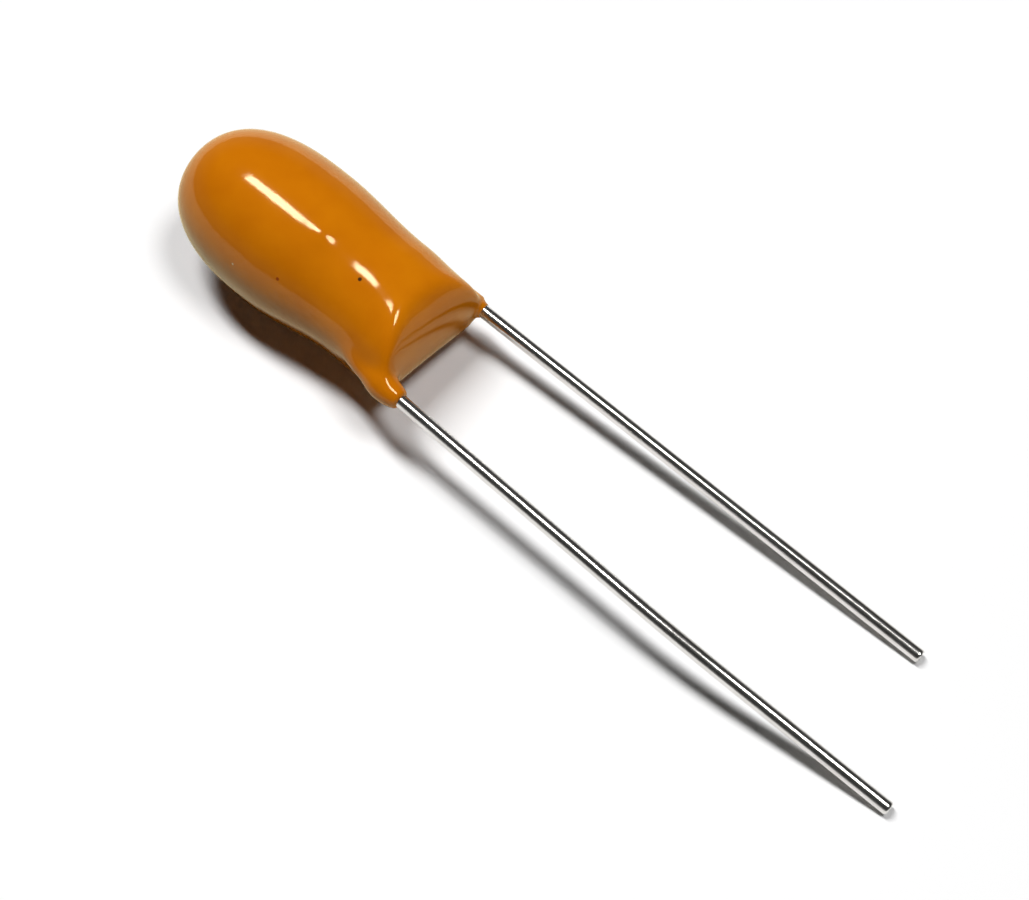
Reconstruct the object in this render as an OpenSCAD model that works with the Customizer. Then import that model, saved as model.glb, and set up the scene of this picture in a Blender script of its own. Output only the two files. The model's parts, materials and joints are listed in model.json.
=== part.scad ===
// Dipped radial tantalum capacitor, lying on a surface at its natural rest.
// It rests on its belly and on the ends of both leads. +X runs from the dome to the ends of the leads.

/* [Tantalum anode] */
// Diameter of the sintered slug
slug_d = 3.6; // [3:0.1:4]
// Length of the sintered slug
slug_len = 5.6; // [4.4:0.1:7]
// Rounding of the slug's lower edge
slug_edge_r = 0.4; // [0.2:0.05:0.8]
// Diameter of the riser wire
riser_d = 0.4; // [0.3:0.05:0.6]
// Length of riser wire held in the slug
riser_in = 3.6; // [2:0.1:4.2]
// Length of riser wire that stands out of the slug
riser_out = 1.7; // [1.5:0.05:1.8]
// Diameter of the insulating washer
washer_d = 1.5; // [1:0.1:2.4]
// Thickness of the insulating washer
washer_t = 0.3; // [0.2:0.05:0.5]

/* [Cathode layers] */
// Thickness of the manganese dioxide layer
mno2_t = 0.06; // [0.04:0.01:0.12]
// Thickness of the graphite layer
graphite_t = 0.03; // [0.02:0.01:0.08]
// Thickness of the silver layer
silver_t = 0.05; // [0.03:0.01:0.1]
// Distance from the slug's end face down to the rim of the graphite
graphite_rim = 0.3; // [0.2:0.05:0.6]
// Distance from the rim of the graphite down to the rim of the silver
silver_rim = 0.25; // [0.1:0.05:0.6]

/* [Leads] */
// Distance between the two leads where they leave the coating
lead_pitch = 5.08; // [4.9:0.01:5.6]
// Diameter of the lead wire
lead_d = 0.5; // [0.4:0.05:0.6]
// How much fatter the wire is in its bends, from the bending
bend_swell = 0.004; // [0.002:0.001:0.01]
// Length of the cathode lead outside the coating
cathode_free = 19.5; // [8:0.1:26]
// Length of the anode lead outside the coating
anode_free = 21.4; // [19.5:0.1:28]
// Gap between the silver and the cathode lead, filled with solder
solder_gap = 0.05; // [0.03:0.01:0.1]
// Length of the solder joint
solder_len = 3.6; // [2:0.1:4.2]
// Width of the solder joint across the cathode lead
solder_w = 0.94; // [0.8:0.02:1.2]
// Distance from the rim of the silver down to the solder
solder_rim = 0.4; // [0.2:0.05:1]
// Thickness of solder over the outer side of the cathode lead
solder_over = 0.14; // [0.05:0.01:0.2]
// Length of cathode lead past the lower end of the solder
cathode_past = 0.3; // [0.1:0.05:0.6]
// Bend radius of the step in the cathode lead, on the wire's centre line
step_r = 1.2; // [0.6:0.1:1.6]
// Length of straight wire between the two bends of that step
step_link = 0.3; // [0.1:0.05:0.5]
// Length of straight cathode lead still inside the coating, from the end of that step to the lip
step_exit = 0.1; // [0.05:0.05:1]
// Bend radius of the anode lead where it turns to the riser, on the wire's centre line
turn_r = 1.8; // [1.5:0.1:2]
// Length of anode lead past the middle of the riser
turn_past = 0.5; // [0.4:0.05:0.9]
// Diameter of the weld between riser and anode lead
weld_d = 0.86; // [0.7:0.02:1.1]
// Length of the weld down the riser, from the side of the anode lead
weld_len = 0.45; // [0.2:0.05:0.7]

/* [Anode lead outside] */
// Angle by which the anode lead lifts as it leaves the coating
lead_rise = 2.5; // [1:0.5:6]
// Angle by which the anode lead splays outwards as it leaves the coating
lead_splay = 2.5; // [0:0.5:6]
// Radius of the bend at the coating
exit_bend_r = 3; // [1:0.5:6]
// Distance from that bend to the middle of the long curve
bow_reach = 12.5; // [6:0.5:13]
// Radius of the long curve
bow_r = 24; // [10:1:36]
// How far the end of the anode lead lies inwards of the line of its exit
tip_inwards = 0; // [-1:0.05:1]

/* [Resin coating] */
// Resin over the flat sides of the silvered slug at the belly
coat_side = 0.9; // [0.6:0.02:1.2]
// Resin over the cathode lead at the belly
coat_over_lead = 0.45; // [0.3:0.01:0.9]
// Resin from the dome's tip to the slug
coat_dome = 1.45; // [1.3:0.05:2.2]
// Distance from the dome's tip to the widest place of the belly
dome_len = 4.7; // [4:0.1:5.6]
// Fullness of the dome, where 2 is an ellipse
dome_fullness = 2.5; // [2.1:0.05:2.8]
// Length of the neck, from the slug's end face to the end of the coating between the leads
neck_len = 4.15; // [4:0.05:5]
// Distance from the end of the dome to the start of the shoulder
shoulder_up = 0.3; // [0:0.1:1]
// Length over which the shoulder thins to the neck
shoulder_len = 3.3; // [2:0.1:3.6]
// Thickness of the neck
neck_t = 4.9; // [3.6:0.05:5.2]
// Length over which the neck rounds off to its end
taper_len = 2.3; // [1.5:0.1:2.8]
// Thickness at the end of the neck
end_t = 2.1; // [1.7:0.05:2.8]
// Resin over the leads at the end of the neck
coat_shoulder = 0.11; // [0.08:0.01:0.4]
// How far the waist is drawn in from the end of the neck, on each side
waist_in = 0.2; // [0:0.01:0.22]
// Distance from the end of the neck up to the waist
waist_up = 2.5; // [2:0.1:3]
// How far the waist lies towards the cathode lead
waist_shift = 0.12; // [-0.1:0.01:0.16]
// Rounding of the rim at the end of the neck
neck_edge_r = 0.5; // [0.1:0.05:0.65]
// Depth of the arch between the leads
arch_depth = 0.12; // [0:0.02:0.3]
// Length of the drip round the anode lead, past the neck
anode_drip = 1.0; // [0.4:0.05:1.4]
// Diameter of the drip where it leaves the neck
anode_drip_d = 0.9; // [0.8:0.02:1.2]
// Length of the meniscus round the cathode lead, past the neck
cathode_drip = 0.33; // [0.1:0.01:0.8]
// Diameter of the meniscus where it leaves the neck
cathode_drip_d = 0.78; // [0.7:0.02:1]
// Thickness of resin at the lip where a lead comes out
drip_lip = 0.04; // [0.02:0.01:0.1]

/* [Rest] */
// Roll of the body about its own length, anode lead upwards
roll = 9; // [0:1:14]

/* [Hidden] */
$fn = 64;

// The capacitor's own frame: z runs from the dome's tip to the leads, the cathode lead is at +y,
// and x points to the side that it lies on.
slug_r = slug_d / 2;
lead_r = lead_d / 2;
lead_y = lead_pitch / 2;
slug_z = coat_dome;
slug_top = slug_z + slug_len;
neck_z = slug_top + neck_len;
riser_top = slug_top + riser_out;
anode_tip_z = neck_z + anode_drip;
cathode_tip_z = neck_z + cathode_drip;
layers_t = mno2_t + graphite_t + silver_t;
silver_top = slug_top - graphite_rim - silver_rim;

// The cathode lead lies against the silver, and steps outwards to its place in the pitch.
cathode_y = slug_r + layers_t + solder_gap + lead_r;
step_out = lead_y - cathode_y;
step_angle = atan2(2 * step_r, step_link)
    + asin((abs(step_out) - 2 * step_r) / norm([2 * step_r, step_link]));
step_half = step_r * sin(step_angle) + step_link * cos(step_angle) / 2;
step_mid = cathode_tip_z - step_exit - step_half;
solder_z = silver_top - solder_rim - solder_len;
cathode_z = solder_z - cathode_past;

// The anode lead crosses the end of the riser.
cross_z = riser_top + lead_r;

// Outline of the coating, as half widths along its length.
belly_hw = cathode_y + lead_r + coat_over_lead;
belly_ht = slug_r + layers_t + coat_side;
neck_hw = lead_y + lead_r + coat_shoulder;
neck_ht = neck_t / 2;
end_ht = end_t / 2;
shoulder_z = dome_len + shoulder_up;
taper_z = neck_z - taper_len;
waist_hw = neck_hw - waist_in;
waist_z = neck_z - waist_up;

function mix(a, b, t) = a + (b - a) * t;
function ease(t) = (1 - cos(180 * min(1, max(0, t)))) / 2;
function round_off(t) = 1 - sqrt(1 - pow(min(1, max(0, t)), 2));
function dome(z) = pow(1 - pow(1 - z / dome_len, dome_fullness), 1 / dome_fullness);
function half_width(z) =
    z < dome_len ? belly_hw * dome(z) :
    z < waist_z ? mix(belly_hw, waist_hw, ease((z - dome_len) / (waist_z - dome_len))) :
    mix(waist_hw, neck_hw, ease((z - waist_z) / (neck_z - waist_z)));
function half_thickness(z) =
    z < dome_len ? belly_ht * dome(z) :
    belly_ht - (belly_ht - neck_ht) * ease((z - shoulder_z) / shoulder_len)
        - (neck_ht - end_ht) * round_off((z - taper_z) / taper_len);
function side_shift(z) =
    z < waist_z ? waist_shift * ease((z - dome_len) / (waist_z - dome_len)) :
    waist_shift * ease((neck_z - z) / (neck_z - waist_z));

// The coating as rings: [height, half width, half thickness].
sides = 36;
dome_rings = 11;
body_rings = 16;
rim_rings = 3;
cap_rings = 2;
rim_z = neck_z - neck_edge_r;
rings = concat(
    [for (i = [1:dome_rings])
        let (z = dome_len * (1 - cos(90 * i / dome_rings)))
        [z, half_width(z), half_thickness(z)]],
    [for (i = [1:body_rings])
        let (z = mix(dome_len, rim_z, i / body_rings))
        [z, half_width(z), half_thickness(z)]],
    [for (i = [1:rim_rings])
        let (a = 90 * i / rim_rings, z = rim_z + neck_edge_r * sin(a), inset = neck_edge_r * (1 - cos(a)))
        [z, half_width(z) - inset, half_thickness(z) - inset]],
    [for (i = [1:cap_rings])
        let (k = 1 - i / (cap_rings + 1))
        [neck_z, (neck_hw - neck_edge_r) * k, (end_ht - neck_edge_r) * k]]);

// The arch draws the end of the neck back between the leads.
arch_reach = 1.2;
function arch(y, z) =
    arch_depth * max(0, 1 - pow(y / lead_y, 2)) * ease((z - neck_z + arch_reach) / arch_reach);
function ring_points(ring) =
    [for (i = [0:sides - 1])
        let (a = 360 * i / sides, x = ring[2] * cos(a), y = ring[1] * sin(a) + side_shift(ring[0]))
        [x, y, ring[0] - arch(y, ring[0])]];

// Rest: the pitch at which the belly and the end of the cathode lead touch the surface together.
reach_samples = 120;
function section_reach(z, along_x, along_y) =
    norm([half_thickness(z) * along_x, half_width(z) * along_y]) + side_shift(z) * along_y;
function belly_drop(p) =
    max([for (i = [0:reach_samples])
        let (z = neck_z * i / reach_samples)
        z * sin(p) + cos(p) * section_reach(z, cos(roll), sin(roll))]);
function cathode_drop(p) = (cathode_tip_z + cathode_free) * sin(p) + (lead_y * sin(roll) + lead_r) * cos(p);
function rest_pitch(low, high, n) =
    let (p = (low + high) / 2)
    n == 0 ? p : belly_drop(p) > cathode_drop(p) ? rest_pitch(p, high, n - 1) : rest_pitch(low, p, n - 1);
pitch = rest_pitch(0, 30, 30);

function turned(v) =
    let (x = v[0] * cos(roll) + v[1] * sin(roll), y = v[1] * cos(roll) - v[0] * sin(roll))
    [v[2] * cos(pitch) - x * sin(pitch), y, -v[2] * sin(pitch) - x * cos(pitch)];
function unit(v) = v / norm(v);

// Route of the free anode lead, before the part is centred: exit bend, long curve, end on the surface.
belly_height = belly_drop(pitch);
exit_dir = turned([0, 0, 1]);
exit_at = turned([0, -lead_y, anode_tip_z]) + [0, 0, belly_height];
lift_dir = unit(sin(lead_rise) * [sin(pitch), 0, cos(pitch)] + sin(lead_splay) * [0, -1, 0]);
exit_angle = norm([lead_rise, lead_splay]);
bent_at = exit_at + exit_bend_r * (sin(exit_angle) * exit_dir + (1 - cos(exit_angle)) * lift_dir);
bent_dir = cos(exit_angle) * exit_dir + sin(exit_angle) * lift_dir;
corner = bent_at + bow_reach * bent_dir;
tail_full = anode_free - exit_bend_r * exit_angle * PI / 180 - bow_reach;
tail_drop = corner[2] - lead_r * cos(asin((corner[2] - lead_r) / tail_full));
tail_side = exit_at[1] + tip_inwards - corner[1];
tail_run = sqrt(pow(tail_full, 2) - pow(tail_drop, 2) - pow(tail_side, 2));
tip_at = corner + [tail_run, tail_side, -tail_drop];
tail_dir = unit(tip_at - corner);
bow_angle = acos(bent_dir * tail_dir);
bow_trim = bow_r * tan(bow_angle / 2);
bow_in = unit(tail_dir - cos(bow_angle) * bent_dir);
function bow_point(a) = corner - bow_trim * bent_dir + bow_r * (sin(a) * bent_dir + (1 - cos(a)) * bow_in);

// Turns of the wire about its own length that set the plane of each of those two bends.
exit_twist = atan2(lift_dir * turned([-1, 0, 0]), lift_dir * turned([0, 1, 0]));
bow_twist = atan2(bow_in * cross(exit_dir, lift_dir),
    bow_in * (cos(exit_angle) * lift_dir - sin(exit_angle) * exit_dir));

// The part's box is centred on the origin, and its lowest point is at height 0.
dome_x = min([for (i = [0:reach_samples])
    let (z = dome_len * i / reach_samples)
    z * cos(pitch) - sin(pitch) * section_reach(z, cos(roll), sin(roll))]);
tip_x = tip_at[0] + lead_r * norm([tail_dir[1], tail_dir[2]]);
belly_y = max([for (i = [0:reach_samples]) section_reach(neck_z * i / reach_samples, sin(roll), cos(roll))]);
bow_samples = 16;
bow_y = min([for (i = [0:bow_samples]) bow_point(bow_angle * i / bow_samples)[1]]) - lead_r;
centre = [-(dome_x + tip_x) / 2, -(belly_y + bow_y) / 2, 0];

module laid() {
    translate(centre + [0, 0, belly_height])
        rotate([0, 90 + pitch, 0])
            rotate([0, 0, -roll])
                children();
}

// A wire is a chain of pieces, each drawn from the origin along +z. What follows a piece is its child.
module straight(length) {
    cylinder(d = lead_d, h = length);
    translate([0, 0, length])
        children();
}

// The place and heading at the end of a bend towards +x.
module past_bend(bend_r, angle) {
    translate([bend_r, 0, 0])
        rotate([0, angle, 0])
            translate([-bend_r, 0, 0])
                children();
}

module bend(bend_r, angle) {
    spare = 2;
    reach = 2 * (bend_r + lead_d);
    intersection() {
        translate([bend_r, 0, 0])
            rotate([90, 0, 0])
                rotate([0, 0, 180 - angle - spare])
                    rotate_extrude(angle = angle + 2 * spare, $fn = 720)
                        translate([bend_r, 0])
                            circle(d = lead_d + bend_swell);
        translate([-reach / 2, -reach / 2, 0])
            cube(reach);
        past_bend(bend_r, angle)
            translate([-reach / 2, -reach / 2, -reach])
                cube(reach);
    }
    past_bend(bend_r, angle)
        children();
}

// The slug's form, grown by the layers on it and cut off at a rim.
module slug_form(grow, top_z) {
    r = slug_r + grow;
    edge_r = slug_edge_r + grow;
    bottom = slug_z - grow;
    rotate_extrude()
        union() {
            translate([0, bottom + edge_r]) square([r, top_z - bottom - edge_r]);
            translate([0, bottom]) square([r - edge_r, edge_r]);
            intersection() {
                translate([r - edge_r, bottom + edge_r]) circle(r = edge_r);
                translate([r - edge_r, bottom]) square([edge_r, edge_r]);
            }
        }
}

module riser_form() {
    translate([0, 0, slug_top - riser_in])
        cylinder(d = riser_d, h = riser_in + riser_out);
}

module washer_form() {
    translate([0, 0, slug_top])
        cylinder(d = washer_d, h = washer_t);
}

module solder_form() {
    translate([0, cathode_y + lead_r + solder_over - solder_w / 2, solder_z])
        cylinder(d = solder_w, h = solder_len);
}

module weld_form() {
    translate([0, 0, riser_top - weld_len])
        cylinder(d = weld_d, h = weld_len + lead_r);
}

// The cathode lead, from its end beside the slug to its cut end outside.
module cathode_form() {
    translate([0, cathode_y, cathode_z])
        rotate([0, 0, 90])
            straight(step_mid - step_half - cathode_z)
                rotate([0, 0, step_out < 0 ? 180 : 0])
                    bend(step_r, step_angle)
                        straight(step_link)
                            rotate([0, 0, 180])
                                bend(step_r, step_angle)
                                    straight(step_exit + cathode_free);
}

// The anode lead inside the coating, from its end past the riser to the drip's lip.
module anode_inner_form() {
    translate([0, turn_past, cross_z])
        rotate([90, 0, 0])
            rotate([0, 0, 90])
                straight(turn_past + lead_y - turn_r)
                    bend(turn_r, 90)
                        straight(anode_tip_z - cross_z - turn_r)
                            children();
}

module anode_form() {
    anode_inner_form()
        rotate([0, 0, exit_twist])
            bend(exit_bend_r, exit_angle)
                rotate([0, 0, bow_twist])
                    straight(bow_reach - bow_trim)
                        bend(bow_r, bow_angle)
                            straight(tail_full - bow_trim);
}

// Resin that has run down a lead, thinning to a lip.
module drip(y, length, root_d) {
    steps = 5;
    root_r = root_d / 2;
    lip_r = lead_r + drip_lip;
    translate([0, y, neck_z])
        rotate_extrude()
            polygon(concat(
                [[0, -root_r]],
                [for (i = [0:steps])
                    let (a = 90 * i / steps)
                    [mix(lip_r, root_r, cos(a)), length * sin(a)]],
                [[0, length]]));
}

module coating_skin() {
    count = len(rings);
    last = count * sides;
    body_faces = [for (k = [0:count - 2]) for (i = [0:sides - 1])
        let (j = (i + 1) % sides, a = k * sides + i, b = k * sides + j, c = a + sides, d = b + sides)
        each [[a, d, b], [a, c, d]]];
    tip_faces = [for (i = [0:sides - 1]) [i, (i + 1) % sides, last]];
    cap_faces = [for (i = [0:sides - 1]) [last - sides + i, last + 1, last - sides + (i + 1) % sides]];
    polyhedron(
        points = concat([for (ring = rings) each ring_points(ring)],
            [[0, 0, 0], [0, 0, neck_z - arch(0, neck_z)]]),
        faces = concat(body_faces, tip_faces, cap_faces));
}

module anode_slug() {
    color("dimgray")
        laid()
            difference() {
                slug_form(0, slug_top);
                riser_form();
            }
}

module riser_wire() {
    color("slategray")
        laid()
            riser_form();
}

module insulating_washer() {
    color("white")
        laid()
            difference() {
                washer_form();
                riser_form();
            }
}

module manganese_dioxide_layer() {
    color("#2b2522")
        laid()
            difference() {
                slug_form(mno2_t, slug_top + mno2_t);
                slug_form(0, slug_top);
                washer_form();
            }
}

module graphite_layer() {
    color("#1c1c1e")
        laid()
            difference() {
                slug_form(mno2_t + graphite_t, slug_top - graphite_rim);
                slug_form(mno2_t, slug_top);
            }
}

module silver_layer() {
    color("#c9c9c4")
        laid()
            difference() {
                slug_form(layers_t, silver_top);
                slug_form(mno2_t + graphite_t, slug_top);
            }
}

module solder_joint() {
    color("#a9abad")
        laid()
            difference() {
                solder_form();
                slug_form(layers_t, silver_top);
                cathode_form();
            }
}

module weld_nugget() {
    color("#8d8f92")
        laid()
            difference() {
                weld_form();
                riser_form();
                anode_inner_form();
            }
}

module cathode_lead() {
    color("silver")
        laid()
            cathode_form();
}

module anode_lead() {
    color("silver")
        laid()
            anode_form();
}

module epoxy_coating() {
    color("#cc7a10")
        laid()
            difference() {
                union() {
                    coating_skin();
                    drip(-lead_y, anode_drip, anode_drip_d);
                    drip(lead_y, cathode_drip, cathode_drip_d);
                }
                slug_form(mno2_t, slug_top + mno2_t);
                slug_form(mno2_t + graphite_t, slug_top - graphite_rim);
                slug_form(layers_t, silver_top);
                washer_form();
                riser_form();
                weld_form();
                solder_form();
                cathode_form();
                anode_inner_form();
            }
}

anode_slug();
riser_wire();
insulating_washer();
manganese_dioxide_layer();
graphite_layer();
silver_layer();
solder_joint();
weld_nugget();
cathode_lead();
anode_lead();
epoxy_coating();
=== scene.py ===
import json
import math

import bpy
import numpy as np
from mathutils import Matrix, Vector

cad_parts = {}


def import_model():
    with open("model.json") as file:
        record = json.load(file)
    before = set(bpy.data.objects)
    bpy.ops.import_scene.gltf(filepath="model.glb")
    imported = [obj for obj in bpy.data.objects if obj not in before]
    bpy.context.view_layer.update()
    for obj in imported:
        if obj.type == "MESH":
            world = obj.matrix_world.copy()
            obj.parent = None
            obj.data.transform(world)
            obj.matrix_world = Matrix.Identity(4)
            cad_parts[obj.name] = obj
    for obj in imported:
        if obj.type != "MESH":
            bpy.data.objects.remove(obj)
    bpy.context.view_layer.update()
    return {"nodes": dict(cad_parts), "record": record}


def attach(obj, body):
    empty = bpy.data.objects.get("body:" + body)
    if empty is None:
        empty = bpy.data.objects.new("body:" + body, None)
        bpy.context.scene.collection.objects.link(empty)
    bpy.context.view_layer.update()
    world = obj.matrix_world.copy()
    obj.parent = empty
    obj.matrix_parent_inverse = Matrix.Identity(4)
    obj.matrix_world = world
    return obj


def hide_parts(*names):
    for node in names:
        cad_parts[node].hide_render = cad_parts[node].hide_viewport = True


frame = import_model()

# ---------------------------------------------------------------- the part's own axes
# Looks are built in millimetres along the capacitor: first from the dome's tip towards the leads,
# second towards the cathode lead, third upwards.
MM = 0.001
NODES = frame["nodes"]
mounts = {m["name"]: m for m in frame["record"]["mounts"]}


def vertices(node):
    """The corners of a node's mesh, in metres."""
    return np.array([v.co for v in NODES[node].data.vertices], float)


def unit(v):
    return v / np.linalg.norm(v)


ALONG = unit(np.array(mounts["cathode_lead_pin"]["axis"], float))
axis_point = vertices("insulating_washer").mean(0)
to_cathode = np.array(mounts["cathode_lead_pin"]["pos_m"], float) - axis_point
to_cathode -= ALONG * to_cathode.dot(ALONG)
LEAD_Y = np.linalg.norm(to_cathode) / MM
SIDE = unit(to_cathode)
UP = np.cross(ALONG, SIDE)
tip_plane = (vertices("epoxy_coating") @ ALONG).min()
ORIGIN = axis_point + ALONG * (tip_plane - axis_point.dot(ALONG))
AXES = np.array([ALONG, SIDE, UP])


def own(p):
    """A point of the frame, in metres, as millimetres along the part's own axes."""
    return AXES @ (np.asarray(p, float) - ORIGIN) / MM


def world(p):
    """A point along the part's own axes, in millimetres, as a point of the frame, in metres."""
    return ORIGIN + MM * (np.asarray(p, float) @ AXES)


# ---------------------------------------------------------------- node trees
class Num:
    """A number inside a node tree, with plain arithmetic on it."""

    def __init__(self, tree, socket):
        self.tree, self.socket = tree, socket

    def op(self, kind, *others):
        node = self.tree.nodes.new("ShaderNodeMath")
        node.operation = kind
        for place, value in zip(node.inputs, (self, *others)):
            if isinstance(value, Num):
                self.tree.links.new(value.socket, place)
            else:
                place.default_value = value
        return Num(self.tree, node.outputs[0])

    def __add__(self, other):
        return self.op("ADD", other)

    def __sub__(self, other):
        return self.op("SUBTRACT", other)

    def __mul__(self, other):
        return self.op("MULTIPLY", other)

    def __truediv__(self, other):
        return self.op("DIVIDE", other)

    def __pow__(self, other):
        return self.op("POWER", other)

    def below(self, value):
        """value - self"""
        return (self * -1.0) + value

    def least(self, other):
        return self.op("MINIMUM", other)

    def most(self, other):
        return self.op("MAXIMUM", other)

    def smooth_least(self, other, reach):
        return self.op("SMOOTH_MIN", other, reach)

    def smooth_most(self, other, reach):
        return self.op("SMOOTH_MAX", other, reach)

    def root(self):
        return self.op("SQRT")

    def square(self):
        return self * self


def length_of(*parts):
    """The length of a line with these parts along axes square to each other."""
    total = parts[0].square()
    for part in parts[1:]:
        total = total + part.square()
    return total.root()


def ease(t):
    """0 to 1 along half a cosine."""
    return (t.most(0.0).least(1.0) * math.pi).op("COSINE").below(1.0) * 0.5


def split(tree, socket):
    """The three parts of a vector."""
    node = tree.nodes.new("ShaderNodeSeparateXYZ")
    tree.links.new(socket, node.inputs[0])
    return [Num(tree, out) for out in node.outputs]


def noise(tree, pos, scale, detail, rough=0.5):
    """Noise about zero, from about -0.5 to 0.5."""
    node = node_in(tree, "ShaderNodeTexNoise", {"Vector": pos})
    node.inputs["Scale"].default_value = scale
    node.inputs["Detail"].default_value = detail
    node.inputs["Roughness"].default_value = rough
    return Num(tree, node.outputs[0]) - 0.5


# ---------------------------------------------------------------- form of the coating
# All in millimetres: Z is a place along the part, W a half width, T a half thickness, R a radius.
DOME_LEN, DOME_FULL = 4.7, 2.5
BELLY_W, WAIST_W, NECK_W = 2.94, 2.60, 2.61
BELLY_T, NECK_T = 2.84, 2.40
SHOULDER_Z, SHOULDER_LEN = 5.0, 3.8
WAIST_Z, NECK_Z = 8.7, 11.2
WAIST_SHIFT = 0.12
THINNING_Z, THINNING_LEN, THINNING = 8.8, 1.4, 0.14
# The neck's end rolls over between the leads, and is drawn back a little there.
ROLL_Z, ROLL_LEN, ROLL_T, ROLL_BLEND = 9.2, 2.22, 2.55, 0.5
DRAWN_BACK = 0.06
SWELLING_Z, SWELLING_Y, SWELLING_R, SWELLING = 6.62, -0.88, 0.42, 0.055
# The drip round the anode lead, and the turn of the wire that it follows inside the neck.
WIRE_R = 0.25
TURN_Z, TURN_R = 10.8, 1.8
LIP_A, LIP_R, LIP_ROUND = 12.2, 0.275, 0.1
DRIP_FULL_Z, DRIP_SWELL, DRIP_SAG = 11.5, 0.195, 0.02
DRIP_SINK_Z, DRIP_SINK_LEN, DRIP_SINK = 11.3, 0.95, 0.24
DRIP_REACH, DRIP_BLEND = 1.2, 0.8
# The meniscus round the cathode lead.
LIP_C, MENISCUS_R, MENISCUS_SWELL = 11.53, 0.27, 0.12
MENISCUS_ROOT_Z, MENISCUS_ROUND, MENISCUS_BLEND = 10.1, 0.06, 0.4
NEAR_ZERO = 0.05
COAT_SIZES = {
    "Belly half width": BELLY_W, "Waist half width": WAIST_W, "Neck half width": NECK_W,
    "Belly half thickness": BELLY_T, "Neck half thickness": NECK_T,
    "Drip swell": DRIP_SWELL, "Swelling": SWELLING,
}


def body_field(z, y, h, sizes):
    """Dome, belly, waist and neck, with the neck's rolled end."""
    to_waist = ease((z - DOME_LEN) / (WAIST_Z - DOME_LEN))
    to_neck = ease((z - WAIST_Z) / (NECK_Z - WAIST_Z))
    belly_w, waist_w, neck_w = (sizes[part + " half width"] for part in ("Belly", "Waist", "Neck"))
    half_w = to_waist * (waist_w - belly_w) + to_neck * (neck_w - waist_w) + belly_w
    shoulder = ease((z - SHOULDER_Z) / SHOULDER_LEN)
    belly_t, neck_t = sizes["Belly half thickness"], sizes["Neck half thickness"]
    thinning = ease((z - THINNING_Z) / THINNING_LEN) * THINNING
    half_t = shoulder * (neck_t - belly_t) - thinning + belly_t
    across = y - (to_waist - to_neck) * WAIST_SHIFT
    ring = length_of(across / half_w, h / half_t)
    dome = (z / DOME_LEN).below(1.0).most(0.0)
    full = ((ring ** DOME_FULL) + (dome ** DOME_FULL)) ** (1 / DOME_FULL)
    reach = length_of(across, h, (z - DOME_LEN).least(0.0))
    sides = reach * (full.most(NEAR_ZERO) ** -1.0).below(1.0)
    arch = (y / LEAD_Y).square().below(1.0).most(0.0) * DRAWN_BACK
    along = z - ROLL_Z + arch
    rolled = length_of(along.most(0.0) / ROLL_LEN, h / ROLL_T).most(NEAR_ZERO)
    end = length_of(along.most(0.0), h) * (rolled ** -1.0).below(1.0) + along.least(0.0) * 0.5
    swelling = (length_of(z - SWELLING_Z, y - SWELLING_Y) / SWELLING_R).square().below(0.0).op("EXPONENT")
    return sides.smooth_most(end, ROLL_BLEND) - swelling * sizes["Swelling"]


def drip_field(z, y, h, sizes):
    """Resin drawn along the anode lead: it swells out of the neck, then narrows to a lip round the wire."""
    rise = ((z - DRIP_FULL_Z) / (LIP_A - DRIP_FULL_Z)).most(0.0).least(1.0)
    sink = ease((z - DRIP_SINK_Z) / -DRIP_SINK_LEN)
    thick = rise.square().below(1.0).root() * sizes["Drip swell"] + LIP_R - sink * DRIP_SINK
    turn = length_of((z - TURN_Z).least(0.0), (y + (LEAD_Y - TURN_R)).least(0.0)) - TURN_R
    from_wire = length_of(turn + rise.below(1.0) * -DRIP_SAG, h)
    return (from_wire - thick).smooth_most(z - LIP_A, LIP_ROUND).most(y + (LEAD_Y - DRIP_REACH))


def meniscus_field(z, y, h):
    """The small rim of resin that the cathode lead draws up."""
    up = ((z - NECK_Z) / (LIP_C - NECK_Z)).most(0.0).least(1.0)
    thick = up.below(1.0).square() * MENISCUS_SWELL + MENISCUS_R
    rim = (length_of(y - LEAD_Y, h) - thick).smooth_most(z - LIP_C, MENISCUS_ROUND)
    return rim.most(z * -1.0 + MENISCUS_ROOT_Z)


def coating_field(tree, pos, sizes):
    """Distance from the coating's surface, in millimetres, less than 0 inside it."""
    z, y, h = split(tree, pos)
    body = body_field(z, y, h, sizes)
    body = body.smooth_least(drip_field(z, y, h, sizes), DRIP_BLEND)
    return body.smooth_least(meniscus_field(z, y, h), MENISCUS_BLEND)


def geometry_tree(name, sizes):
    """A node tree whose sizes are inputs with names, and those inputs as numbers."""
    tree = bpy.data.node_groups.new(name, "GeometryNodeTree")
    tree.interface.new_socket("Geometry", in_out="INPUT", socket_type="NodeSocketGeometry")
    tree.interface.new_socket("Geometry", in_out="OUTPUT", socket_type="NodeSocketGeometry")
    for label in sizes:
        tree.interface.new_socket(label, in_out="INPUT", socket_type="NodeSocketFloat")
    source = tree.nodes.new("NodeGroupInput")
    inputs = {label: Num(tree, source.outputs[label]) for label in sizes}
    return tree, source, tree.nodes.new("NodeGroupOutput"), inputs


def node_in(tree, kind, inputs=(), **settings):
    """A node with its settings, and with its inputs linked or set."""
    node = tree.nodes.new(kind)
    for key, value in settings.items():
        setattr(node, key, value)
    for key, value in dict(inputs).items():
        if isinstance(value, Num):
            tree.links.new(value.socket, node.inputs[key])
        elif isinstance(value, bpy.types.NodeSocket):
            tree.links.new(value, node.inputs[key])
        else:
            node.inputs[key].default_value = value
    return node


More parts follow.
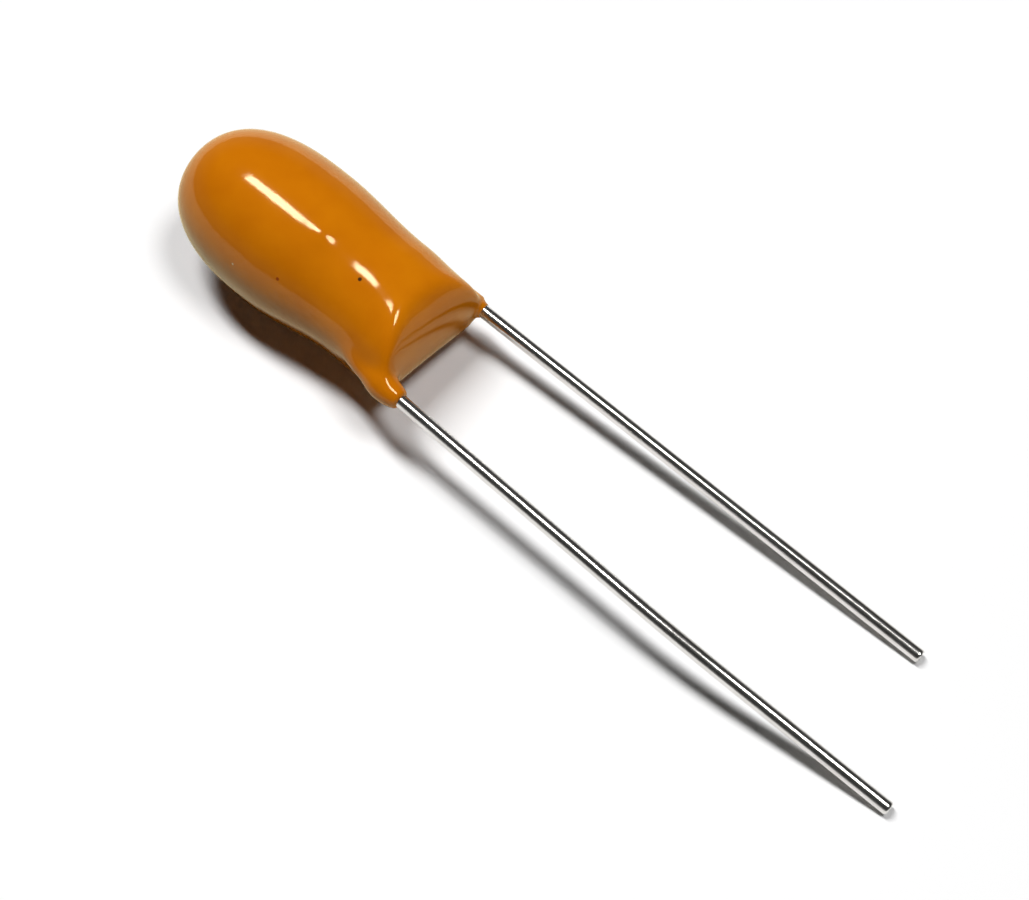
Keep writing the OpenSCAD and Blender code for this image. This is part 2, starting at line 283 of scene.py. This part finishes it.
def to_frame(tree, geometry):
    """Takes a piece drawn in the part's own millimetres to its place in the frame."""
    m = Matrix([[*(AXES.T[i] * MM), ORIGIN[i]] for i in range(3)] + [[0, 0, 0, 1]])
    turn = m.to_3x3().normalized().to_euler()
    move = node_in(tree, "GeometryNodeTransform", {"Geometry": geometry})
    move.inputs["Translation"].default_value = m.to_translation()
    move.inputs["Rotation"].default_value = turn
    move.inputs["Scale"].default_value = (MM, MM, MM)
    return move.outputs[0]


def finish_tree(tree, geometry, out, material):
    """Smooth shading, real geometry and the material, and then the tree's output."""
    shade = node_in(tree, "GeometryNodeSetShadeSmooth", {"Geometry": geometry, "Shade Smooth": True})
    real = node_in(tree, "GeometryNodeRealizeInstances", {"Geometry": shade.outputs[0]})
    paint = node_in(tree, "GeometryNodeSetMaterial", {"Geometry": real.outputs[0]})
    paint.inputs["Material"].default_value = material
    tree.links.new(paint.outputs[0], out.inputs[0])


def grown(name, tree, sizes, start=None):
    """The mesh that a node tree makes with the given sizes, as a plain object."""
    data = start or bpy.data.meshes.new(name + "_start")
    obj = bpy.data.objects.new(name + "_start", data)
    bpy.context.collection.objects.link(obj)
    mod = obj.modifiers.new(name, "NODES")
    mod.node_group = tree
    for item in tree.interface.items_tree:
        if item.name in sizes:
            mod[item.identifier] = float(sizes[item.name])
    bpy.context.view_layer.update()
    dg = bpy.context.evaluated_depsgraph_get()
    mesh = bpy.data.meshes.new_from_object(obj.evaluated_get(dg), depsgraph=dg)
    bpy.data.objects.remove(obj)
    mesh.name = name
    piece = bpy.data.objects.new(name, mesh)
    bpy.context.collection.objects.link(piece)
    return piece


# ---------------------------------------------------------------- materials
# A Mix node keeps its two colours, and the colour that it gives, at these places.
COLOUR_INPUTS, COLOUR_OUTPUT = (6, 7), 2


def material(name):
    """A new material, with its tree, its shader and its place on the part in millimetres."""
    mat = bpy.data.materials.new(name)
    mat.use_nodes = True
    tree = mat.node_tree
    shader = tree.nodes["Principled BSDF"]
    coords = tree.nodes.new("ShaderNodeTexCoord")
    scale = node_in(tree, "ShaderNodeVectorMath", {0: coords.outputs["Object"]}, operation="SCALE")
    scale.inputs["Scale"].default_value = 1.0 / MM
    return mat, tree, shader, scale.outputs[0]


def ramp(tree, value, stops):
    """Colours at places from 0 to 1."""
    node = tree.nodes.new("ShaderNodeValToRGB")
    tree.links.new(value.socket, node.inputs[0])
    points = node.color_ramp.elements
    while len(points) < len(stops):
        points.new(0.5)
    for point, (place, colour) in zip(points, stops):
        point.position, point.color = place, (*colour, 1.0)
    return node.outputs[0]


def blend(tree, share, first, second):
    """The first colour where share is 0, and the second where it is 1."""
    node = node_in(tree, "ShaderNodeMix", {"Factor": share}, data_type="RGBA")
    for place, colour in zip(COLOUR_INPUTS, (first, second)):
        if isinstance(colour, tuple):
            node.inputs[place].default_value = (*colour, 1.0)
        else:
            tree.links.new(colour, node.inputs[place])
    return node.outputs[COLOUR_OUTPUT]


def show(tree, shader):
    """Makes a shader what the material shows."""
    tree.links.new(shader.outputs[0], tree.nodes["Material Output"].inputs["Surface"])


def bump(tree, shader, height, distance):
    """Gives a shader the relief of a height, which a distance scales."""
    node = node_in(tree, "ShaderNodeBump", {"Height": height})
    node.inputs["Strength"].default_value = 1.0
    node.inputs["Distance"].default_value = distance
    tree.links.new(node.outputs[0], shader.inputs["Normal"])
    return node


# Marks in the resin's skin, in the part's own millimetres, with their radius and colour. The pit is a
# pinhole drawn only as colour, and its dark colour is painted shade. The two specks are the resin's own
# flecks.
PAINTED_PIT_SHADE = ((8.61, -1.10, 2.12), 0.085, (0.05, 0.022, 0.008))
DARK_SPECK = ((6.20, -2.55, 1.10), 0.075, (0.30, 0.045, 0.001))
PALE_SPECK = ((4.40, -2.88, 0.53), 0.050, (0.80, 0.62, 0.38))
MARK_EDGE = 3.0


def near(tree, pos, spot, radius):
    """1 at a spot, 0 from its radius outwards."""
    gap = length_of(*(a - float(b) for a, b in zip(split(tree, pos), world(spot) / MM)))
    return ((gap / radius).below(1.0) * MARK_EDGE).most(0.0).least(1.0)


def resin():
    """Opaque resin under a clear skin, with a few marks."""
    mat, tree, shader, pos = material("orange_resin")
    cloud = noise(tree, pos, scale=0.55, detail=3.0) + 0.5
    tone = ramp(tree, cloud, [(0.3, (0.54, 0.148, 0.0010)), (0.7, (0.60, 0.178, 0.0014))])
    # The pit's dark colour laid on here is painted shade; the specks are real flecks.
    for spot, radius, colour in (PAINTED_PIT_SHADE, DARK_SPECK, PALE_SPECK):
        tone = blend(tree, near(tree, pos, spot, radius), tone, colour)
    tree.links.new(tone, shader.inputs["Base Color"])
    shader.inputs["Roughness"].default_value = 0.5
    shader.inputs["Specular IOR Level"].default_value = 0.0
    grain = noise(tree, pos, scale=9.0, detail=3.0)
    height = noise(tree, pos, scale=1.5, detail=2.0) + grain * 0.02
    wave = bump(tree, shader, height, distance=0.006 * MM)
    # The clear skin of the resin mirrors its surroundings a little amber, and the pit mirrors nothing.
    skin = node_in(tree, "ShaderNodeBsdfGlossy", {
        "Roughness": grain * 0.04 + 0.10, "Normal": wave.outputs[0]})
    skin.inputs["Color"].default_value = (1.0, 0.88, 0.55, 1.0)
    edge = node_in(tree, "ShaderNodeFresnel", {"Normal": wave.outputs[0]})
    edge.inputs["IOR"].default_value = 1.45
    gloss = Num(tree, edge.outputs[0]) * near(tree, pos, *PAINTED_PIT_SHADE[:2]).below(1.0)
    show(tree, node_in(tree, "ShaderNodeMixShader", {0: gloss, 1: shader.outputs[0], 2: skin.outputs[0]}))
    return mat


def wire():
    """Tinned wire, a little uneven."""
    mat, tree, shader, pos = material("tinned_wire")
    shader.inputs["Metallic"].default_value = 1.0
    tone = noise(tree, pos, scale=1.3, detail=4.0) + 0.5
    tin = ramp(tree, tone, [(0.25, (0.66, 0.64, 0.60)), (0.75, (0.80, 0.78, 0.75))])
    tree.links.new(tin, shader.inputs["Base Color"])
    rough = noise(tree, pos, scale=5.0, detail=3.0) * 0.1 + 0.20
    tree.links.new(rough.socket, shader.inputs["Roughness"])
    bump(tree, shader, noise(tree, pos, scale=3.0, detail=4.0), distance=0.006 * MM)
    return mat


def inner(name, low, high, rough, metal, grain, depth):
    """A grainy finish between two colours, for a piece inside the resin."""
    mat, tree, shader, pos = material(name)
    shader.inputs["Metallic"].default_value = metal
    speck = noise(tree, pos, scale=grain, detail=4.0, rough=0.6) + 0.5
    tree.links.new(ramp(tree, speck, [(0.35, low), (0.65, high)]), shader.inputs["Base Color"])
    tree.links.new((speck * 0.15 + (rough - 0.07)).socket, shader.inputs["Roughness"])
    bump(tree, shader, speck, distance=depth * MM)
    return mat


RESIN, WIRE = resin(), wire()
INNER = {
    "anode_slug": inner(
        "sintered_tantalum", (0.07, 0.07, 0.075), (0.16, 0.16, 0.17),
        rough=0.7, metal=0.7, grain=18.0, depth=0.02),
    "riser_wire": inner(
        "tantalum_wire", (0.22, 0.22, 0.24), (0.34, 0.34, 0.37),
        rough=0.35, metal=1.0, grain=5.0, depth=0.004),
    "insulating_washer": inner(
        "white_insulator", (0.78, 0.78, 0.76), (0.86, 0.86, 0.84),
        rough=0.45, metal=0.0, grain=4.0, depth=0.004),
    "manganese_dioxide_layer": inner(
        "manganese_dioxide", (0.012, 0.012, 0.013), (0.035, 0.033, 0.03),
        rough=0.8, metal=0.0, grain=14.0, depth=0.02),
    "graphite_layer": inner(
        "graphite", (0.02, 0.02, 0.022), (0.06, 0.06, 0.065),
        rough=0.5, metal=0.0, grain=9.0, depth=0.008),
    "silver_layer": inner(
        "silver_paint", (0.52, 0.51, 0.48), (0.68, 0.67, 0.64),
        rough=0.45, metal=0.8, grain=8.0, depth=0.008),
    "solder_joint": inner(
        "solder", (0.42, 0.43, 0.44), (0.58, 0.59, 0.60),
        rough=0.3, metal=1.0, grain=3.0, depth=0.01),
    "weld_nugget": inner(
        "weld_metal", (0.30, 0.29, 0.28), (0.48, 0.47, 0.45),
        rough=0.35, metal=1.0, grain=5.0, depth=0.015),
}
for node, mat in INNER.items():
    NODES[node].data.materials.clear()
    NODES[node].data.materials.append(mat)

# ---------------------------------------------------------------- the coating
VOXEL = 0.06
FIELD_LOW, FIELD_HIGH = (-0.3, -3.3, -3.2), (12.6, 3.3, 3.2)
EVENING_PASSES, PLAIN_PASSES, EVENING_STEPS = 2, 2, 4


def coating_tree():
    """The coating's field, made a mesh and then brought onto the field's own surface."""
    tree, _, out, sizes = geometry_tree("coating_form", COAT_SIZES)
    field = coating_field(tree, tree.nodes.new("GeometryNodeInputPosition").outputs[0], sizes)
    volume = node_in(tree, "GeometryNodeVolumeCube", {"Density": field * -1.0, "Background": -1.0})
    volume.inputs["Min"].default_value = FIELD_LOW
    volume.inputs["Max"].default_value = FIELD_HIGH
    for axis, low, high in zip("XYZ", FIELD_LOW, FIELD_HIGH):
        volume.inputs["Resolution " + axis].default_value = round((high - low) / VOXEL)
    shape = node_in(tree, "GeometryNodeVolumeToMesh", {
        "Volume": volume.outputs[0], "Threshold": 0.0}).outputs[0]
    normal = tree.nodes.new("GeometryNodeInputNormal").outputs[0]
    place = tree.nodes.new("GeometryNodeInputPosition").outputs[0]
    for count in range(EVENING_PASSES + PLAIN_PASSES):
        # Each pass moves the mesh along its normals onto the surface. The first passes even it out too.
        if count < EVENING_PASSES:
            evened = node_in(tree, "GeometryNodeBlurAttribute", {
                "Value": place, "Iterations": EVENING_STEPS}, data_type="FLOAT_VECTOR")
            shape = node_in(tree, "GeometryNodeSetPosition", {
                "Geometry": shape, "Position": evened.outputs[0]}).outputs[0]
        push = node_in(tree, "ShaderNodeVectorMath", {0: normal}, operation="SCALE")
        tree.links.new((field * -1.0).socket, push.inputs["Scale"])
        shape = node_in(tree, "GeometryNodeSetPosition", {
            "Geometry": shape, "Offset": push.outputs[0]}).outputs[0]
    finish_tree(tree, to_frame(tree, shape), out, RESIN)
    return tree


coating = grown("resin_coating", coating_tree(), COAT_SIZES)

# ---------------------------------------------------------------- the leads
# Corners of each wire's route, in the part's own millimetres, with the radius that rounds each one.
anode_mount = mounts["anode_lead_pin"]
tail_dir = AXES @ unit(np.array(anode_mount["axis"], float))
tail_mid = own(anode_mount["pos_m"])
TAIL = anode_mount["dims"]["length_mm"]
BOW_R, BOW_TRIM = 24.0, 2.468
EXIT_R, PAST_LIP = 3.0, 0.09
CROSS_Z, CROSS_Y = 9.0, 0.5
STEP_Y, STEP_FROM_Z, STEP_TO_Z, STEP_R = 2.24, 10.47, 11.19, 1.2
anode_tip = tail_mid + tail_dir * TAIL / 2
bow_corner = tail_mid - tail_dir * (TAIL / 2 + BOW_TRIM)
cathode_z = (AXES @ ((vertices("cathode_lead") - ORIGIN) / MM).T)[0]
ANODE_ROUTE = [
    ((CROSS_Z, CROSS_Y, 0), 0), ((CROSS_Z, -LEAD_Y, 0), TURN_R), ((LIP_A + PAST_LIP, -LEAD_Y, 0), EXIT_R),
    (bow_corner, BOW_R), (anode_tip, 0)]
CATHODE_ROUTE = [
    ((cathode_z.min(), STEP_Y, 0), 0), ((STEP_FROM_Z, STEP_Y, 0), STEP_R),
    ((STEP_TO_Z, LEAD_Y, 0), STEP_R), ((cathode_z.max(), LEAD_Y, 0), 0)]
POINT_GAP = 0.12
END_GAPS = (0.5, 0.3, 0.15, 0.06, 0.0)
PINCH, PINCH_LEN = 0.16, 0.07
WIRE_SIDES = 40


def rounded(route):
    """Points along a route whose corners are rounded."""
    corners = [np.array(p, float) for p, _ in route]
    points = [corners[0]]
    for i in range(1, len(route) - 1):
        a, b, c = corners[i - 1:i + 2]
        u, v = unit(b - a), unit(c - b)
        turn = math.acos(max(-1, min(1, u.dot(v))))
        radius = route[i][1]
        trim = radius * math.tan(turn / 2)
        inwards = unit(v - u * math.cos(turn))
        count = max(3, math.ceil(radius * turn / POINT_GAP))
        for k in range(count + 1):
            t = turn * k / count
            points.append(b - u * trim + radius * (math.sin(t) * u + (1 - math.cos(t)) * inwards))
    points.append(corners[-1])
    full = [points[0]]
    for p in points[1:]:
        gap = np.linalg.norm(p - full[-1])
        if gap < 1e-6:
            continue
        start = full[-1]
        count = math.ceil(gap / POINT_GAP)
        for k in range(1, count + 1):
            full.append(start + (p - start) * k / count)
    return np.array(full)


def wire_tree(name, sizes):
    """A round wire swept along the curve that the tree is given."""
    tree, source, out, inputs = geometry_tree(name, sizes)
    param = tree.nodes.new("GeometryNodeSplineParameter").outputs["Length"]
    left = Num(tree, param).below(inputs["Wire length"])
    # The cutters pinch the last bit of the wire and leave its edge turned over.
    pinch = (left / PINCH_LEN).below(1.0).most(0.0).square() * inputs["Pinch"]
    radius = pinch.below(1.0) * inputs["Wire radius"]
    ring = node_in(tree, "GeometryNodeCurvePrimitiveCircle", {"Resolution": WIRE_SIDES})
    ring.inputs["Radius"].default_value = 1.0
    sized = node_in(tree, "GeometryNodeSetCurveRadius", {"Curve": source.outputs[0], "Radius": radius})
    sweep = node_in(tree, "GeometryNodeCurveToMesh", {
        "Curve": sized.outputs[0], "Profile Curve": ring.outputs[0], "Fill Caps": True})
    for socket in sweep.inputs:
        if socket.name == "Scale":
            tree.links.new(radius.socket, socket)
    finish_tree(tree, to_frame(tree, sweep.outputs[0]), out, WIRE)
    return tree


def lead(name, route):
    """A wire along a route, as a plain object."""
    points = rounded(route)
    # The last points stand closer together, for the cut end.
    end, before = points[-1], points[-2]
    points = np.vstack([points[:-1], [end + (before - end) * k for k in END_GAPS]])
    length = np.linalg.norm(np.diff(points, axis=0), axis=1).sum()
    curve = bpy.data.curves.new(name, "CURVE")
    curve.dimensions = "3D"
    spline = curve.splines.new("POLY")
    spline.points.add(len(points) - 1)
    for point, p in zip(spline.points, points):
        point.co = (*p, 1.0)
    sizes = {"Wire radius": WIRE_R, "Wire length": length, "Pinch": PINCH}
    return grown(name, wire_tree(name, sizes), sizes, curve)


anode = lead("anode_wire", ANODE_ROUTE)
cathode = lead("cathode_wire", CATHODE_ROUTE)

for piece, node, slot in (
        (coating, "epoxy_coating", "orange_resin"),
        (anode, "anode_lead", "tinned_wire"),
        (cathode, "cathode_lead", "tinned_wire")):
    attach(piece, "root")
    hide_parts(node)

# ---------------------------------------------------------------- floor, light and camera
WHITE = (1.0, 1.0, 1.0)
DARK_ROOM = (0.012, 0.012, 0.012)
CARD_SIZE = 2.0
# Where the card's throw starts to rise along the part, and over what length, in millimetres.
THROW_FROM, THROW_LEN = -14.0, 24.0
# Where the card begins to turn plain white for the camera, and over what length, in millimetres.
PLAIN_FROM, PLAIN_LEN = 70.0, 60.0


def card():
    """White card. It throws back less light than it shows, so what lies under the part stays dark."""
    mat, tree, shader, pos = material("white_card")
    shader.inputs["Roughness"].default_value = 0.9
    shader.inputs["Specular IOR Level"].default_value = 0.0
    cloud = noise(tree, pos, scale=0.02, detail=2.0) + 0.5
    white = ramp(tree, cloud, [(0.3, (0.90, 0.90, 0.90)), (0.7, (0.92, 0.92, 0.92))])
    tree.links.new(white, shader.inputs["Base Color"])
    path = tree.nodes.new("ShaderNodeLightPath")
    by_camera = Num(tree, path.outputs["Is Camera Ray"])
    seen = by_camera.most(Num(tree, path.outputs["Is Glossy Ray"]))
    along, across, _ = split(tree, pos)
    throw = ramp(tree, (along - THROW_FROM) / THROW_LEN, [
        (0.0, (0.10, 0.10, 0.10)), (1.0, (0.85, 0.85, 0.85))])
    dim = tree.nodes.new("ShaderNodeBsdfDiffuse")
    tree.links.new(throw, dim.inputs["Color"])
    shown = node_in(tree, "ShaderNodeMixShader", {0: seen, 1: dim.outputs[0], 2: shader.outputs[0]})
    # Well away from the part the camera sees plain white, out of the lamps' reach too.
    far = ((length_of(along, across) - PLAIN_FROM) / PLAIN_LEN).most(0.0).least(1.0) * by_camera
    plain = tree.nodes.new("ShaderNodeEmission")
    plain.inputs["Color"].default_value = (*WHITE, 1.0)
    plain.inputs["Strength"].default_value = 1.0
    show(tree, node_in(tree, "ShaderNodeMixShader", {0: far, 1: shown.outputs[0], 2: plain.outputs[0]}))
    return mat


def surroundings():
    """A dark room, white to the camera. What mirrors sees pale walls, which reach some way up."""
    back = bpy.data.worlds.new("studio")
    back.use_nodes = True
    tree = back.node_tree
    height = split(tree, tree.nodes.new("ShaderNodeTexCoord").outputs["Generated"])[2]
    walls = ramp(tree, height, [(0.12, (0.22, 0.22, 0.22)), (0.45, (0.03, 0.03, 0.03))])
    path = tree.nodes.new("ShaderNodeLightPath")
    mirrored = blend(tree, path.outputs["Is Glossy Ray"], DARK_ROOM, walls)
    shown = blend(tree, path.outputs["Is Camera Ray"], mirrored, WHITE)
    tree.links.new(shown, tree.nodes["Background"].inputs["Color"])
    tree.nodes["Background"].inputs["Strength"].default_value = 1.0
    return back


bpy.ops.mesh.primitive_plane_add(size=CARD_SIZE)
floor = bpy.context.object
floor.name = "white_card"
floor.data.materials.append(card())

scene = bpy.context.scene
scene.view_settings.view_transform = "Standard"
scene.world = surroundings()


def lamp(name, at, level, size, size_y=None):
    """A lamp facing the part. Its level is the share of plain white that it gives a level card below."""
    at = Vector(at)
    light = bpy.data.lights.new(name, "AREA")
    light.shape = "RECTANGLE" if size_y else "DISK"
    light.size = size
    if size_y:
        light.size_y = size_y
    light.energy = level * (math.pi * at.length) ** 2 * at.length / at.z
    holder = bpy.data.objects.new(name, light)
    holder.location = at
    holder.rotation_mode = "QUATERNION"
    holder.rotation_quaternion = (-at).to_track_quat("-Z", "Y")
    scene.collection.objects.link(holder)


lamp("strip", at=(-0.235, 0.03, 0.60), level=0.74, size=0.10, size_y=0.33)
lamp("soft", at=(0.19, 0.08, 0.60), level=0.40, size=0.17)

ELEVATION, AZIMUTH, LEAN = math.radians(58.48), math.radians(42.51), math.radians(-1.07)
# What the camera looks at, from the part's own origin, and how far off it stands, in millimetres.
LOOKED_AT, DISTANCE = (15.3369, -0.2451, -3.2368), 82.19
away = Vector((
    math.sin(AZIMUTH) * math.cos(ELEVATION),
    -math.cos(AZIMUTH) * math.cos(ELEVATION),
    math.sin(ELEVATION)))
right = Vector((math.cos(AZIMUTH), math.sin(AZIMUTH), 0.0))
above = away.cross(right)
turned_right = right * math.cos(LEAN) + above * math.sin(LEAN)
turned_above = above * math.cos(LEAN) - right * math.sin(LEAN)
lens = bpy.data.cameras.new("camera")
lens.lens = 81.95
lens.sensor_width = 36.0
lens.sensor_fit = "HORIZONTAL"
lens.clip_start = 0.005
lens.clip_end = 10.0
camera = bpy.data.objects.new("camera", lens)
stand = Matrix((turned_right, turned_above, away)).transposed().to_4x4()
stand.translation = Vector(ORIGIN) + Vector(LOOKED_AT) * MM + away * DISTANCE * MM
camera.matrix_world = stand
scene.collection.objects.link(camera)
scene.camera = camera
